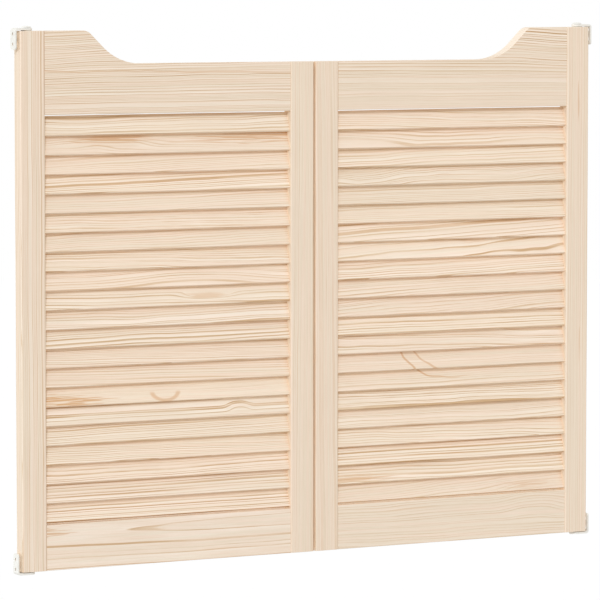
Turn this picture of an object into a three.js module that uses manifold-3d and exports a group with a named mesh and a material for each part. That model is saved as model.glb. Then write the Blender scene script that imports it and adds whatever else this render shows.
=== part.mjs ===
// A pair of louvred cafe doors: two pine leaves that swing both ways on sprung pivots.
// Millimetres, +Z up. X runs along the pair, Y through its thickness, and the front faces -Y.
// The origin is at the bottom centre, level with the undersides of the lower brackets.

import * as THREE from 'three';
import { mergeVertices } from 'three/addons/utils/BufferGeometryUtils.js';
import Module from 'manifold-3d';

// Leaf
const LEAF_WIDTH = 457;
const LEAF_HEIGHT = 750;
const LEAF_THICKNESS = 22;
const MEETING_GAP = 3;

// Stiles: the arrises beside the slats are rounder than the outer ones
const STILE_WIDTH = 37;
const INNER_ARRIS = 2.5;
const OUTER_ARRIS = 2;

// Rails, set back from the faces of the stiles
const TOP_RAIL_HEIGHT = 116;
const BOTTOM_RAIL_HEIGHT = 64;
const RAIL_RECESS = 1.2;
const RAIL_ARRIS = 0.8;

// S-curve of the top: level, over a crest, down a short slope, out through a wide hollow
const TOP_DROP = 46.3;
const CREST_START = 96;
const CREST_RADIUS = 17;
const HOLLOW_RADIUS = 82;
const SLOPE_LENGTH = 26;

// Stub tenons of the rails
const TENON_LENGTH = 12;
const TENON_THICKNESS = 8;
const TENON_SHOULDER = 12;

// Slats: leaning back, with a slit above the first one and a lap from each to the next
const SLAT_COUNT = 21;
const SLAT_THICKNESS = 6;
const SLAT_TILT = THREE.MathUtils.degToRad(22);
const SLAT_LAP = 1.8;
const SLAT_ARRIS = 1.1;
const SLAT_HOUSING = 8;
const TOP_SLIT = 1.4;
const BOTTOM_SLIT = 1.5;

// Pivots
const PIVOT_INSET = 14;
const PIN_RADIUS = 4;
const PIVOT_CLEARANCE = 0.08;
const SOCKET_RADIUS = 6.5;
const FLANGE_RADIUS = 7.5;
const FLANGE_THICKNESS = 2;
const FLANGE_PROUD = 0.7;
const CARTRIDGE_LENGTH = 54;
const LOWER_PIN_LENGTH = 46;
const BUSH_LENGTH = 20;
const UPPER_PIN_LENGTH = 22;
const PIN_CHAMFER = 0.8;
const PIN_HEAD_RADIUS = 6.5;
const PIN_HEAD_HEIGHT = 2.5;

// Jamb brackets
const ARM_THICKNESS = 3;
const PLATE_THICKNESS = 2.5;
const BRACKET_WIDTH = 16;
const PLATE_HEIGHT = 30;
const PLATE_CORNER = 4;
const SWING_MARGIN = 1;
const SCREW_RADIUS = 2.25;
const SCREW_HEAD_RADIUS = 4.25;
const SCREW_SINK = 2;
const SCREW_SPACING = 14;
const SCREW_EDGE = 8;

// Clearances between pieces that touch
const FIT_GAP = 0.3;
const HOUSING_END_GAP = 0.5;

// Facets
const ROUND_SIDES = 24;
const ARRIS_STEPS = 3;
const CREST_STEPS = 6;
const HOLLOW_STEPS = 10;
const MERGE_TOLERANCE = 1e-4;
const CUT_MARGIN = 5;

// Worked-out sizes
const halfThickness = LEAF_THICKNESS / 2;
const railThickness = LEAF_THICKNESS - 2 * RAIL_RECESS;
const meetingHeight = LEAF_HEIGHT - TOP_DROP;
const topRailFoot = LEAF_HEIGHT - TOP_RAIL_HEIGHT;
const slatStack = topRailFoot - BOTTOM_RAIL_HEIGHT - TOP_SLIT - BOTTOM_SLIT;
const slatPitch = (slatStack - SLAT_LAP) / SLAT_COUNT;
const slatWidth = (slatPitch + SLAT_LAP - SLAT_THICKNESS * Math.sin(SLAT_TILT)) / Math.cos(SLAT_TILT);
const slatRise = slatWidth * Math.cos(SLAT_TILT) + SLAT_THICKNESS * Math.sin(SLAT_TILT);
const endGap = FLANGE_PROUD + FIT_GAP;
const leafFoot = ARM_THICKNESS + endGap;
const upperArmFoot = LEAF_HEIGHT + endGap;
const swingRadius = Math.hypot(PIVOT_INSET - OUTER_ARRIS, halfThickness - OUTER_ARRIS) + OUTER_ARRIS;
const jambFace = PIVOT_INSET - swingRadius - SWING_MARGIN - PLATE_THICKNESS;

const wasm = await Module();
wasm.setup();

const PINE = { color: 0xe3cba9, roughness: 0.7, metalness: 0 };
const STEEL = { color: 0xc8c8c5, roughness: 0.35, metalness: 1 };
const ENAMEL = { color: 0xf2f1ed, roughness: 0.4, metalness: 0 };
const NYLON = { color: 0xe9e4d6, roughness: 0.5, metalness: 0 };

// Solids and meshes

function toSolid(geometry) {
  const bare = geometry.clone();
  bare.deleteAttribute('normal');
  bare.deleteAttribute('uv');
  const merged = mergeVertices(bare, MERGE_TOLERANCE);
  const index = merged.index.array;
  const triangles = [];
  for (let i = 0; i < index.length; i += 3) {
    const [a, b, c] = index.slice(i, i + 3);
    if (a !== b && b !== c && c !== a) triangles.push(a, b, c);
  }
  const vertProperties = new Float32Array(merged.attributes.position.array);
  const triVerts = new Uint32Array(triangles);
  return new wasm.Manifold(new wasm.Mesh({ numProp: 3, vertProperties, triVerts }));
}

function toMesh(name, solid, finish) {
  const { vertProperties, triVerts } = solid.getMesh();
  const geometry = new THREE.BufferGeometry();
  geometry.setAttribute('position', new THREE.BufferAttribute(vertProperties, 3));
  geometry.setIndex(new THREE.BufferAttribute(triVerts, 1));
  geometry.computeVertexNormals();
  const mesh = new THREE.Mesh(geometry, new THREE.MeshStandardMaterial(finish));
  mesh.name = name;
  return mesh;
}

// Box between two corners
function block(low, high) {
  const size = high.map((value, i) => value - low[i]);
  const geometry = new THREE.BoxGeometry(...size);
  geometry.translate(...low.map((value, i) => value + size[i] / 2));
  return toSolid(geometry);
}

function arc(x, y, radius, from, to, steps) {
  return new THREE.EllipseCurve(x, y, radius, radius, from, to, to < from).getPoints(steps);
}

// Rectangle whose two arrises at x0 have radius r0, and those at x1 radius r1
function roundedRectangle(x0, x1, y0, y1, r0, r1) {
  const quarter = Math.PI / 2;
  return new THREE.Shape([
    ...arc(x0 + r0, y0 + r0, r0, -2 * quarter, -quarter, ARRIS_STEPS),
    ...arc(x1 - r1, y0 + r1, r1, -quarter, 0, ARRIS_STEPS),
    ...arc(x1 - r1, y1 - r1, r1, 0, quarter, ARRIS_STEPS),
    ...arc(x0 + r0, y1 - r0, r0, quarter, 2 * quarter, ARRIS_STEPS),
  ]);
}

// Outline in XY, run up Z from z0 to z1
function extrudeUp(shape, z0, z1) {
  const geometry = new THREE.ExtrudeGeometry(shape, { depth: z1 - z0, bevelEnabled: false });
  geometry.translate(0, 0, z0);
  return toSolid(geometry);
}

// Outline in YZ, run along X from x0 to x1
function extrudeAcross(shape, x0, x1) {
  const geometry = new THREE.ExtrudeGeometry(shape, { depth: x1 - x0, bevelEnabled: false });
  const yAxis = new THREE.Vector3(0, 1, 0);
  const zAxis = new THREE.Vector3(0, 0, 1);
  const xAxis = new THREE.Vector3(1, 0, 0);
  geometry.applyMatrix4(new THREE.Matrix4().makeBasis(yAxis, zAxis, xAxis));
  geometry.translate(x0, 0, 0);
  return toSolid(geometry);
}

// Outline in XZ, as thick as a rail and centred on Y = 0, with eased arrises
function extrudeRail(shape) {
  const geometry = new THREE.ExtrudeGeometry(shape, {
    depth: railThickness - 2 * RAIL_ARRIS,
    bevelThickness: RAIL_ARRIS,
    bevelSize: RAIL_ARRIS,
    bevelOffset: -RAIL_ARRIS,
    bevelSegments: 2,
  });
  geometry.rotateX(Math.PI / 2);
  geometry.translate(0, railThickness / 2 - RAIL_ARRIS, 0);
  return toSolid(geometry);
}

// Profile of [radius, height] points, turned about the pivot axis
function turned(profile) {
  const points = profile.map(([radius, z]) => new THREE.Vector2(radius, z));
  const geometry = new THREE.LatheGeometry(points, ROUND_SIDES);
  geometry.rotateX(Math.PI / 2);
  geometry.translate(PIVOT_INSET, 0, 0);
  return toSolid(geometry);
}

// Corner radius of a faceted hole whose flats clear a given radius
function holeRadius(radius, gap) {
  return (radius + gap) / Math.cos(Math.PI / ROUND_SIDES);
}

// Stiles, rails and slats of one leaf, with X = 0 at the hinge edge and Z = 0 at its foot

function topEdge() {
  const arcs = CREST_RADIUS + HOLLOW_RADIUS;
  const lean = Math.acos((arcs - TOP_DROP) / Math.hypot(arcs, SLOPE_LENGTH));
  const slope = lean - Math.atan2(SLOPE_LENGTH, arcs);
  const up = Math.PI / 2;
  const hollowX = CREST_START + arcs * Math.sin(slope) + SLOPE_LENGTH * Math.cos(slope);
  const crestZ = LEAF_HEIGHT - CREST_RADIUS;
  const hollowZ = meetingHeight + HOLLOW_RADIUS;
  return [
    ...arc(CREST_START, crestZ, CREST_RADIUS, up, up - slope, CREST_STEPS),
    ...arc(hollowX, hollowZ, HOLLOW_RADIUS, -up - slope, -up, HOLLOW_STEPS),
  ];
}

// Stub tenon, from one height to another, at the hinge end or the meeting end of a rail
function tenon(end, z0, z1, gap) {
  const inward = CUT_MARGIN;
  const x0 = end === 'hinge' ? STILE_WIDTH - TENON_LENGTH - gap : LEAF_WIDTH - STILE_WIDTH - inward;
  const x1 = end === 'hinge' ? STILE_WIDTH + inward : LEAF_WIDTH - STILE_WIDTH + TENON_LENGTH + gap;
  const y = TENON_THICKNESS / 2 + gap;
  return block([x0, -y, z0 - gap], [x1, y, z1 + gap]);
}

function railTenons(gap) {
  const low = TENON_SHOULDER;
  const bottomTop = BOTTOM_RAIL_HEIGHT - TENON_SHOULDER;
  const topFoot = topRailFoot + TENON_SHOULDER;
  return {
    bottomHinge: tenon('hinge', low, bottomTop, gap),
    bottomMeeting: tenon('meeting', low, bottomTop, gap),
    topHinge: tenon('hinge', topFoot, LEAF_HEIGHT - TENON_SHOULDER, gap),
    topMeeting: tenon('meeting', topFoot, meetingHeight - TENON_SHOULDER, gap),
  };
}

// The part of a rail between the shoulders of its tenons
function betweenStiles(solid) {
  const low = [STILE_WIDTH + FIT_GAP, -halfThickness, -CUT_MARGIN];
  const high = [LEAF_WIDTH - STILE_WIDTH - FIT_GAP, halfThickness, LEAF_HEIGHT + CUT_MARGIN];
  return solid.intersect(block(low, high));
}

function topRail() {
  const outline = new THREE.Shape([
    new THREE.Vector2(0, topRailFoot),
    new THREE.Vector2(LEAF_WIDTH, topRailFoot),
    new THREE.Vector2(LEAF_WIDTH, meetingHeight),
    ...topEdge().reverse(),
    new THREE.Vector2(0, LEAF_HEIGHT),
  ]);
  const tenons = railTenons(0);
  return betweenStiles(extrudeRail(outline)).add(tenons.topHinge).add(tenons.topMeeting);
}

function bottomRail() {
  const outline = new THREE.Shape([
    new THREE.Vector2(0, 0),
    new THREE.Vector2(LEAF_WIDTH, 0),
    new THREE.Vector2(LEAF_WIDTH, BOTTOM_RAIL_HEIGHT),
    new THREE.Vector2(0, BOTTOM_RAIL_HEIGHT),
  ]);
  const tenons = railTenons(0);
  return betweenStiles(extrudeRail(outline)).add(tenons.bottomHinge).add(tenons.bottomMeeting);
}

// Section of slat number i, counted from the top, in YZ, grown by a gap
function slatSection(i, gap, arris) {
  const w = slatWidth / 2 + gap;
  const t = SLAT_THICKNESS / 2 + gap;
  const z = topRailFoot - TOP_SLIT - slatRise / 2 - i * slatPitch;
  const middle = new THREE.Vector2(0, z);
  const flat = arris > 0
    ? roundedRectangle(-t, t, -w, w, arris, arris).getPoints()
    : [[-t, -w], [t, -w], [t, w], [-t, w]].map(([y, x]) => new THREE.Vector2(y, x));
  const origin = new THREE.Vector2(0, 0);
  return new THREE.Shape(flat.map((point) => point.rotateAround(origin, -SLAT_TILT).add(middle)));
}

function slat(i) {
  const x0 = STILE_WIDTH - SLAT_HOUSING + HOUSING_END_GAP;
  return extrudeAcross(slatSection(i, 0, SLAT_ARRIS), x0, LEAF_WIDTH - x0);
}

// Housings of all the slats in the stile that starts or ends at the given X
function slatHousings(x0, x1) {
  return Array.from({ length: SLAT_COUNT }, (_, i) => extrudeAcross(slatSection(i, FIT_GAP, 0), x0, x1));
}

function hingeStile() {
  const section = roundedRectangle(
    0, STILE_WIDTH, -halfThickness, halfThickness, OUTER_ARRIS, INNER_ARRIS);
  const tenons = railTenons(FIT_GAP);
  const cuts = [
    ...slatHousings(STILE_WIDTH - SLAT_HOUSING, STILE_WIDTH + CUT_MARGIN),
    tenons.bottomHinge,
    tenons.topHinge,
    lowerBore(),
    upperBore(),
  ];
  return cuts.reduce((solid, cut) => solid.subtract(cut), extrudeUp(section, 0, LEAF_HEIGHT));
}

function meetingStile() {
  const section = roundedRectangle(
    LEAF_WIDTH - STILE_WIDTH, LEAF_WIDTH, -halfThickness, halfThickness, INNER_ARRIS, OUTER_ARRIS);
  const tenons = railTenons(FIT_GAP);
  const x = LEAF_WIDTH - STILE_WIDTH;
  const cuts = [
    ...slatHousings(x - CUT_MARGIN, x + SLAT_HOUSING),
    tenons.bottomMeeting,
    tenons.topMeeting,
  ];
  return cuts.reduce((solid, cut) => solid.subtract(cut), extrudeUp(section, 0, meetingHeight));
}

// Pivots, in the frame of the leaf

// Bores in the ends of the hinge stile: a socket with a shallow recess for the flange
function lowerBore() {
  const flange = holeRadius(FLANGE_RADIUS, FIT_GAP);
  const socket = holeRadius(SOCKET_RADIUS, FIT_GAP);
  const recess = FLANGE_THICKNESS - FLANGE_PROUD + FIT_GAP;
  const depth = CARTRIDGE_LENGTH - FLANGE_PROUD + FIT_GAP;
  return turned([
    [0, -CUT_MARGIN],
    [flange, -CUT_MARGIN],
    [flange, recess],
    [socket, recess],
    [socket, depth],
    [0, depth],
  ]);
}

function upperBore() {
  const flange = holeRadius(FLANGE_RADIUS, FIT_GAP);
  const socket = holeRadius(SOCKET_RADIUS, FIT_GAP);
  const over = LEAF_HEIGHT + CUT_MARGIN;
  const recess = LEAF_HEIGHT - FLANGE_THICKNESS + FLANGE_PROUD - FIT_GAP;
  const depth = LEAF_HEIGHT - BUSH_LENGTH + FLANGE_PROUD - FIT_GAP;
  return turned([
    [0, depth],
    [socket, depth],
    [socket, recess],
    [flange, recess],
    [flange, over],
    [0, over],
  ]);
}

function springCartridge() {
  const bore = holeRadius(PIN_RADIUS, PIVOT_CLEARANCE);
  const foot = -FLANGE_PROUD;
  const shoulder = foot + FLANGE_THICKNESS;
  const head = foot + CARTRIDGE_LENGTH;
  const blind = LOWER_PIN_LENGTH - endGap + HOUSING_END_GAP;
  return turned([
    [0, blind],
    [bore, blind],
    [bore, foot],
    [FLANGE_RADIUS, foot],
    [FLANGE_RADIUS, shoulder],
    [SOCKET_RADIUS, shoulder],
    [SOCKET_RADIUS, head],
    [0, head],
  ]);
}

function upperBush() {
  const bore = holeRadius(PIN_RADIUS, PIVOT_CLEARANCE);
  const head = LEAF_HEIGHT + FLANGE_PROUD;
  const shoulder = head - FLANGE_THICKNESS;
  const foot = head - BUSH_LENGTH;
  return turned([
    [bore, foot],
    [SOCKET_RADIUS, foot],
    [SOCKET_RADIUS, shoulder],
    [FLANGE_RADIUS, shoulder],
    [FLANGE_RADIUS, head],
    [bore, head],
    [bore, foot],
  ]);
}

// Arm that reaches under or over the end of the stile and rounds off about the pivot
function arm(z0, z1) {
  const half = BRACKET_WIDTH / 2;
  const quarter = Math.PI / 2;
  const shape = new THREE.Shape([
    new THREE.Vector2(jambFace, half),
    new THREE.Vector2(jambFace, -half),
    ...arc(PIVOT_INSET, 0, half, -quarter, quarter, ROUND_SIDES / 2),
  ]);
  return extrudeUp(shape, z0, z1);
}

// Plate against the jamb, from the arm's outer face to its rounded free end
function plate(armEnd, freeEnd) {
  const half = BRACKET_WIDTH / 2;
  const way = Math.sign(freeEnd - armEnd);
  const quarter = Math.PI / 2;
  const centre = freeEnd - way * PLATE_CORNER;
  const corners = [
    ...arc(half - PLATE_CORNER, centre, PLATE_CORNER, 0, way * quarter, ARRIS_STEPS),
    ...arc(PLATE_CORNER - half, centre, PLATE_CORNER, way * quarter, way * 2 * quarter, ARRIS_STEPS),
  ];
  const outline = [new THREE.Vector2(-half, armEnd), new THREE.Vector2(half, armEnd), ...corners];
  return extrudeAcross(new THREE.Shape(outline), jambFace, jambFace + PLATE_THICKNESS);
}

// Countersunk screw hole through the plate, wide on the leaf's side
function screwHole(z) {
  const profile = [
    [0, -CUT_MARGIN],
    [SCREW_RADIUS, -CUT_MARGIN],
    [SCREW_RADIUS, PLATE_THICKNESS - SCREW_SINK],
    [SCREW_HEAD_RADIUS, PLATE_THICKNESS],
    [SCREW_HEAD_RADIUS, PLATE_THICKNESS + FIT_GAP],
    [0, PLATE_THICKNESS + FIT_GAP],
  ];
  const points = profile.map(([radius, x]) => new THREE.Vector2(radius, x));
  const geometry = new THREE.LatheGeometry(points, ROUND_SIDES);
  geometry.rotateZ(-Math.PI / 2);
  geometry.translate(jambFace, 0, z);
  return toSolid(geometry);
}

function bracket(armZ0, armZ1, armEnd, freeEnd) {
  const way = Math.sign(freeEnd - armEnd);
  const outerScrew = freeEnd - way * SCREW_EDGE;
  const innerScrew = outerScrew - way * SCREW_SPACING;
  return arm(armZ0, armZ1)
    .add(plate(armEnd, freeEnd))
    .subtract(screwHole(outerScrew))
    .subtract(screwHole(innerScrew));
}

function lowerBracket() {
  const foot = -leafFoot;
  const top = foot + ARM_THICKNESS;
  const tip = top + LOWER_PIN_LENGTH;
  const pin = turned([
    [0, foot],
    [PIN_RADIUS, foot],
    [PIN_RADIUS, tip - PIN_CHAMFER],
    [PIN_RADIUS - PIN_CHAMFER, tip],
    [0, tip],
  ]);
  return bracket(foot, top, foot, foot + PLATE_HEIGHT).add(pin);
}

function upperBracket() {
  const head = upperArmFoot + ARM_THICKNESS;
  const hole = holeRadius(PIN_RADIUS, FIT_GAP);
  const through = turned([
    [0, upperArmFoot - CUT_MARGIN],
    [hole, upperArmFoot - CUT_MARGIN],
    [hole, head + CUT_MARGIN],
    [0, head + CUT_MARGIN],
  ]);
  return bracket(upperArmFoot, head, head, head - PLATE_HEIGHT).subtract(through);
}

function pivotPin() {
  const seat = upperArmFoot + ARM_THICKNESS + FIT_GAP;
  const tip = seat - UPPER_PIN_LENGTH;
  const top = seat + PIN_HEAD_HEIGHT;
  return turned([
    [0, tip],
    [PIN_RADIUS - PIN_CHAMFER, tip],
    [PIN_RADIUS, tip + PIN_CHAMFER],
    [PIN_RADIUS, seat],
    [PIN_HEAD_RADIUS, seat],
    [PIN_HEAD_RADIUS, top - PIN_CHAMFER],
    [PIN_HEAD_RADIUS - PIN_CHAMFER, top],
    [0, top],
  ]);
}

// One leaf with its pivots and brackets
function doorSide(side) {
  const group = new THREE.Group();
  group.add(
    toMesh(`${side}_hinge_stile`, hingeStile(), PINE),
    toMesh(`${side}_meeting_stile`, meetingStile(), PINE),
    toMesh(`${side}_top_rail`, topRail(), PINE),
    toMesh(`${side}_bottom_rail`, bottomRail(), PINE),
  );
  for (let i = 0; i < SLAT_COUNT; i += 1) {
    const number = String(i + 1).padStart(2, '0');
    group.add(toMesh(`${side}_slat_${number}`, slat(i), PINE));
  }
  group.add(
    toMesh(`${side}_spring_cartridge`, springCartridge(), STEEL),
    toMesh(`${side}_upper_bush`, upperBush(), NYLON),
    toMesh(`${side}_lower_bracket`, lowerBracket(), ENAMEL),
    toMesh(`${side}_upper_bracket`, upperBracket(), ENAMEL),
    toMesh(`${side}_pivot_pin`, pivotPin(), ENAMEL),
  );
  return group;
}

// The right side mirrors the left one across the meeting line
const doors = new THREE.Group();
const hingeEdge = LEAF_WIDTH + MEETING_GAP / 2;
const left = doorSide('left');
left.position.set(-hingeEdge, 0, leafFoot);
const right = doorSide('right');
right.position.set(hingeEdge, 0, leafFoot);
right.scale.x = -1;
doors.add(left, right);

export default doors;
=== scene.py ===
# Looks of the cafe doors: bare pine leaves on sprung pivots in white brackets, on a plain white stage.
# The pieces are made in millimetres in the frame of one leaf. place_in_pair() turns them into metres in the
# shared frame, mirrored for the right leaf. The stage is in metres throughout.
import math
import random

import bmesh
import bpy
from mathutils import Matrix, Vector


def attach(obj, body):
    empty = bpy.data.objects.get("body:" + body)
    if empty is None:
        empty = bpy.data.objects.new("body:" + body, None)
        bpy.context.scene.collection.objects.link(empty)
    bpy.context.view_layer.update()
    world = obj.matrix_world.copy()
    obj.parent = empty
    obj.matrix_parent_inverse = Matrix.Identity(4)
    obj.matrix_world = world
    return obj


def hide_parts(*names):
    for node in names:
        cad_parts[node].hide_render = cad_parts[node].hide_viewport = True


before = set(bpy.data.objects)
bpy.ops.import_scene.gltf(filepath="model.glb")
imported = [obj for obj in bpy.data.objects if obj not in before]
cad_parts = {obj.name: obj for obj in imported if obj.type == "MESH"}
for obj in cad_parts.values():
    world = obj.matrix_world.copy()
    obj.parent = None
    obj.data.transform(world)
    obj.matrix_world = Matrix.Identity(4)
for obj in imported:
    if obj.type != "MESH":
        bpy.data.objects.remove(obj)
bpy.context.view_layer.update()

MM = 0.001
SIDES = {"left": 1.0, "right": -1.0}

# The leaf, with sizes named as in the solids
LEAF_WIDTH = 457.0
LEAF_HEIGHT = 750.0
LEAF_THICKNESS = 22.0
MEETING_GAP = 3.0
STILE_WIDTH = 37.0
INNER_ARRIS = 2.5
OUTER_ARRIS = 2.0
ARRIS_STEPS = 6
END_EASE = 0.6
TOP_RAIL_HEIGHT = 116.0
BOTTOM_RAIL_HEIGHT = 64.0
RAIL_RECESS = 1.2
RAIL_ARRIS = 0.9
SHOULDER_GAP = 0.06

# The S-curve of the top rail: a round crest, a straight slope and a hollow
TOP_DROP = 46.3
CREST_START = 96.0
CREST_RADIUS = 17.0
CREST_STEPS = 16
SLOPE_LENGTH = 26.0
HOLLOW_RADIUS = 82.0
HOLLOW_STEPS = 28

# Slats. Their twist is in degrees
SLAT_COUNT = 21
SLAT_THICKNESS = 6.0
SLAT_TILT = math.radians(22)
SLAT_LAP = 1.8
SLAT_ARRIS = 0.7
SLAT_ARRIS_STEPS = 5
SLAT_END_EASE = 0.4
SLAT_STATIONS = 9
SLAT_TWIST = 0.5
SLAT_BOW = 0.25
SLAT_HOUSING = 8.0
HOUSING_GAP = 0.12
HOUSING_END_GAP = 0.5
TOP_SLIT = 1.4
BOTTOM_SLIT = 1.5

# Pivots in the ends of the hinge stile
PIVOT_INSET = 14.0
PIN_RADIUS = 4.0
PIVOT_CLEARANCE = 0.08
SOCKET_RADIUS = 6.5
FLANGE_RADIUS = 7.5
FLANGE_THICKNESS = 2.0
FLANGE_PROUD = 0.7
FIT_GAP = 0.3
CARTRIDGE_LENGTH = 54.0
BUSH_LENGTH = 20.0
LOWER_PIN_LENGTH = 46.0
UPPER_PIN_LENGTH = 22.0
PIN_CHAMFER = 0.8
PIN_HEAD_RADIUS = 6.5
PIN_HEAD_HEIGHT = 2.5
PIN_HEAD_RIM = 1.3
PIN_HEAD_STEPS = 8
METAL_EASE = 0.3

# Jamb brackets, each bent from one strip
ARM_THICKNESS = 3.0
ARM_TIP_STEPS = 14
PLATE_THICKNESS = 2.5
BRACKET_WIDTH = 16.0
PLATE_HEIGHT = 30.0
PLATE_CORNER = 4.0
PLATE_CORNER_STEPS = 6
BEND_RADIUS = 4.5
BEND_STEPS = 8
SCREW_RADIUS = 2.25
SCREW_HEAD_RADIUS = 4.25
SCREW_SINK = 2.0
SCREW_EDGE = 8.0
SCREW_SPACING = 14.0
SWING_MARGIN = 1.0
RIVET_GROOVE = 0.25

# Meshes in general
ROUND_SIDES = 48
EASE_STEPS = 3
CUT_MARGIN = 5.0
SMOOTH_ANGLE = 38
FLAT_WEIGHT = 100

# Worked-out sizes
half_thickness = LEAF_THICKNESS / 2
half_rail = half_thickness - RAIL_RECESS
hinge_edge = LEAF_WIDTH + MEETING_GAP / 2
meeting_height = LEAF_HEIGHT - TOP_DROP
top_rail_foot = LEAF_HEIGHT - TOP_RAIL_HEIGHT
bay_start = STILE_WIDTH
bay_end = LEAF_WIDTH - STILE_WIDTH
bay_middle = (bay_start + bay_end) / 2
slat_pitch = (top_rail_foot - BOTTOM_RAIL_HEIGHT - TOP_SLIT - BOTTOM_SLIT - SLAT_LAP) / SLAT_COUNT
slat_width = (slat_pitch + SLAT_LAP - SLAT_THICKNESS * math.sin(SLAT_TILT)) / math.cos(SLAT_TILT)
slat_rise = slat_width * math.cos(SLAT_TILT) + SLAT_THICKNESS * math.sin(SLAT_TILT)
slat_start = STILE_WIDTH - SLAT_HOUSING + HOUSING_END_GAP
bore_radius = PIN_RADIUS + PIVOT_CLEARANCE
end_gap = FLANGE_PROUD + FIT_GAP
leaf_foot = ARM_THICKNESS + end_gap
cartridge_bore = LOWER_PIN_LENGTH - end_gap + HOUSING_END_GAP
upper_arm_top = LEAF_HEIGHT + end_gap + ARM_THICKNESS
swing_radius = math.hypot(PIVOT_INSET - OUTER_ARRIS, half_thickness - OUTER_ARRIS) + OUTER_ARRIS
jamb_face = PIVOT_INSET - swing_radius - SWING_MARGIN - PLATE_THICKNESS


# Shader helpers

def srgb(red, green, blue):
    """Linear colour of an 8-bit screen colour."""
    def linear(value):
        value /= 255
        return value / 12.92 if value <= 0.04045 else ((value + 0.055) / 1.055) ** 2.4
    return linear(red), linear(green), linear(blue), 1.0


def node(tree, kind, inputs=None, **settings):
    made = tree.nodes.new("ShaderNode" + kind)
    for key, value in settings.items():
        setattr(made, key, value)
    for key, value in (inputs or {}).items():
        if isinstance(value, bpy.types.NodeSocket):
            tree.links.new(value, made.inputs[key])
        else:
            made.inputs[key].default_value = value
    return made


def maths(tree, operation, first, second=0.0, third=0.0):
    return node(tree, "Math", {0: first, 1: second, 2: third}, operation=operation).outputs[0]


def mapped(tree, value, start, end, first, last, curve="LINEAR"):
    """The value, moved from the range of start and end to that of first and last, and held within it."""
    ranges = {0: value, 1: start, 2: end, 3: first, 4: last}
    return node(tree, "MapRange", ranges, interpolation_type=curve).outputs[0]


def off_mean(tree, noise, depth, base):
    """A base value, raised or lowered by a noise about its mean."""
    return maths(tree, "MULTIPLY_ADD", maths(tree, "SUBTRACT", noise, 0.5), depth, base)


def stretched_noise(tree, vector, stretch, detail=2.0, roughness=0.5):
    """Noise from 0 to 1, with features as long as stretch says along each axis of the vector."""
    scale = [1 / length for length in stretch]
    scaled = node(tree, "VectorMath", {0: vector, 1: scale}, operation="MULTIPLY").outputs[0]
    inputs = {"Vector": scaled, "Scale": 1.0, "Detail": detail, "Roughness": roughness}
    return node(tree, "TexNoise", inputs).outputs[0]


def ramp(tree, value, stops, mode="EASE"):
    made = node(tree, "ValToRGB", {0: value})
    made.color_ramp.interpolation = mode
    elements = made.color_ramp.elements
    while len(elements) < len(stops):
        elements.new(0.5)
    for element, (position, colour) in zip(elements, stops):
        element.position = position
        element.color = colour if isinstance(colour, tuple) else (colour, colour, colour, 1.0)
    return made.outputs[0]


def mix_colour(tree, factor, first, second, blend="MIX"):
    made = node(tree, "Mix", {0: factor, 6: first, 7: second}, data_type="RGBA", blend_type=blend)
    return made.outputs[2]


def carried(tree, name, kind="Fac"):
    """A number or vector that the mesh carries under that name."""
    return node(tree, "Attribute", attribute_name=name).outputs[kind]


def carried_three(tree, name):
    """The three numbers of a vector that the mesh carries under that name."""
    return node(tree, "SeparateXYZ", {0: carried(tree, name, "Vector")}).outputs


def new_material(name):
    material = bpy.data.materials.new(name)
    material.use_nodes = True
    tree = material.node_tree
    tree.nodes.clear()
    output = node(tree, "OutputMaterial")
    return material, tree, output


def finish(tree, output, colour, rough, height, relief, extra=None):
    """Ends a material with one shader. Its relief is the strength and the depth of the bump."""
    strength, distance = relief
    bump = node(tree, "Bump", {"Strength": strength, "Distance": distance, "Height": height}).outputs[0]
    inputs = {"Base Color": colour, "Roughness": rough, "Normal": bump, **(extra or {})}
    shader = node(tree, "BsdfPrincipled", inputs)
    tree.links.new(shader.outputs[0], output.inputs[0])


# Pine: sizes of its figure along the log and across it, in millimetres, and how much each kind adds
WAVE_SIZE = (170, 50, 50)
WAVE_DEPTH = 10.0
WOBBLE_SIZE = (60, 30, 30)
WOBBLE_DEPTH = 2.6
DRIFT_SCALE = 0.11
DRIFT_YEARS = 2.4
FADE_SIZE = (150, 13, 13)
STREAK_SIZE = (230, 1.6, 1.6)
STREAK_DEPTH = 0.45
FIBRE_SIZE = (30, 0.6, 0.6)
FIBRE_DEPTH = 0.3
BAND_SIZE = (500, 4.5, 4.5)
CLOUD_SIZE = (120, 26, 26)
CLOUD_DEPTH = 0.06
FINE_ROUGHNESS = 0.6

# Pale spring growth darkens slowly to a thin autumn line, and the next year starts pale again
SEASON = [(0.0, 0.0), (0.12, 0.12), (0.42, 0.28), (0.58, 0.38), (0.7, 1.0), (0.9, 1.0), (0.96, 0.0)]
SEASON_MEAN = 0.43
YEAR_STRENGTH = [(0.0, 0.5), (0.6, 0.75), (1.0, 1.0)]
FADE_STRENGTH = [(0.34, 0.4), (0.6, 1.0)]

# Wood from pale to dark, and the casts that bands along the grain give it
PALE_WOOD = srgb(250, 238, 224)
EARLYWOOD = srgb(240, 223, 204)
TAN_WOOD = srgb(223, 198, 168)
LATEWOOD = srgb(198, 160, 118)
WOOD = [(0.0, PALE_WOOD), (0.35, EARLYWOOD), (0.65, TAN_WOOD), (1.0, LATEWOOD)]
YELLOW_CAST = (0.973, 0.977, 0.97, 1.0)
PINK_CAST = (1.0, 0.972, 0.972, 1.0)
CASTS = [(0.38, YELLOW_CAST), (0.62, PINK_CAST)]

# Knots: a torn brown heart, or a loop round it. Edges are shares of the knot's own size
KNOT_BROWN = srgb(206, 154, 98)
HEART_TEAR = 1.8
HEART_EDGE = (0.16, 0.34)
LOOP_PLACE = 0.75
LOOP_WOBBLE = 0.2
LOOP_EDGE = (0.2, 1.0)
LOOP_LOWER_EDGE = (-0.2, 0.15)
LOOP_QUARTER_EDGE = (-0.3, 0.3)

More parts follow.
